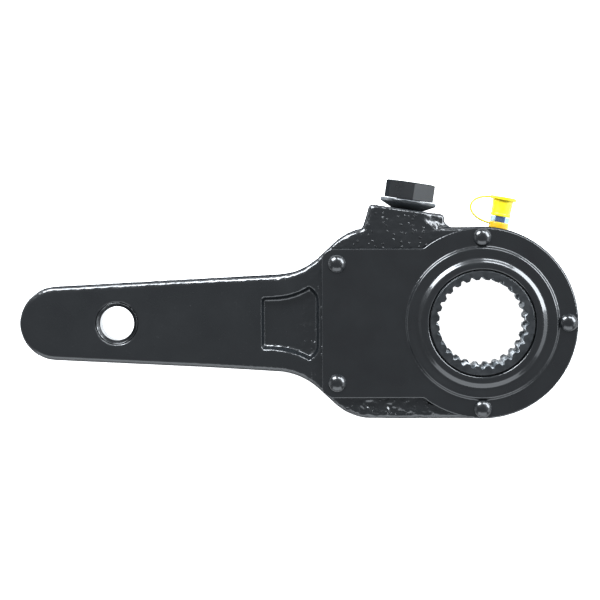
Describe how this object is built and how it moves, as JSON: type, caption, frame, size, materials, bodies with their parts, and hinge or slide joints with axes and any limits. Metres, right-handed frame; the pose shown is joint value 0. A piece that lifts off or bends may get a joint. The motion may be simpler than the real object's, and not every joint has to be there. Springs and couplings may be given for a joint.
{
  "type": "brake slack adjuster",
  "caption": "Black manual brake slack adjuster: a tapering arm with a clevis hole and a round head whose splined gear is turned by a worm with a hexagon head; yellow grease cap.",
  "frame": {"origin": "centre of the splined bore, at the middle of the head's thickness", "axes": "+Z along the splined bore, towards the front cover; -X along the arm to the clevis hole; +Y towards the hexagon and the grease nipple"},
  "size_m": [0.233, 0.0996, 0.0384],
  "materials": {
    "black_paint": "gloss",
    "gear_steel": "satin",
    "bare_steel": "satin",
    "bronze": "satin",
    "rubber": "matt",
    "zinc": "satin",
    "yellow_plastic": "gloss"
  },
  "bodies": {
    "adjuster_body": {"housing": "black_paint", "front_cover": "black_paint", "rear_cover": "black_paint", "cover_rivets": "black_paint", "clevis_bush": "bare_steel", "upper_thrust_washer": "bare_steel", "lower_thrust_washer": "bare_steel", "spring_seat": "bare_steel", "lock_spring": "bare_steel", "nipple_spring": "bare_steel", "welch_plug": "bare_steel", "upper_shaft_bush": "bronze", "lower_shaft_bush": "bronze", "front_gear_seal": "rubber", "rear_gear_seal": "rubber", "shaft_seal": "rubber", "grease_nipple": "zinc", "cap_ring": "yellow_plastic", "cap_strap": "yellow_plastic"},
    "gear": {"worm_gear": "gear_steel"},
    "worm_drive": {"worm": "gear_steel", "worm_shaft": "black_paint", "hex_head": "black_paint"},
    "collar": {"lock_collar": "black_paint", "collar_sleeve": "black_paint"},
    "cap": {"grease_cap": "yellow_plastic"},
    "ball": {"nipple_ball": "bare_steel"}
  },
  "joints": [
    {"name": "gear_spin", "type": "hinge", "parent": "adjuster_body", "child": "gear", "pos_m": [0, 0, 0], "axis": [0, 0, 1], "continuous": true},
    {"name": "worm_spin", "type": "hinge", "parent": "adjuster_body", "child": "worm_drive", "pos_m": [-0.03703, 0.00553, 0], "axis": [0.1478, 0.989, 0], "continuous": true},
    {"name": "collar_press", "type": "slide", "parent": "adjuster_body", "child": "collar", "axis": [-0.1478, -0.989, 0], "range_m": [0, 0.0014], "stiffness_N_per_m": 3000, "springref_m": -0.001, "deforming": ["lock_spring"]},
    {"name": "cap_pull", "type": "slide", "parent": "adjuster_body", "child": "cap", "axis": [0.1822, 0.9833, 0], "range_m": [0, 0.009], "deforming": ["cap_strap"]},
    {"name": "ball_press", "type": "slide", "parent": "adjuster_body", "child": "ball", "axis": [-0.1822, -0.9833, 0], "range_m": [0, 0.0008], "stiffness_N_per_m": 200, "springref_m": -0.0005, "deforming": ["nipple_spring"]}
  ],
  "couplings": [
    {"joint": "worm_spin", "follows": "gear_spin", "ratio": 22}
  ]
}
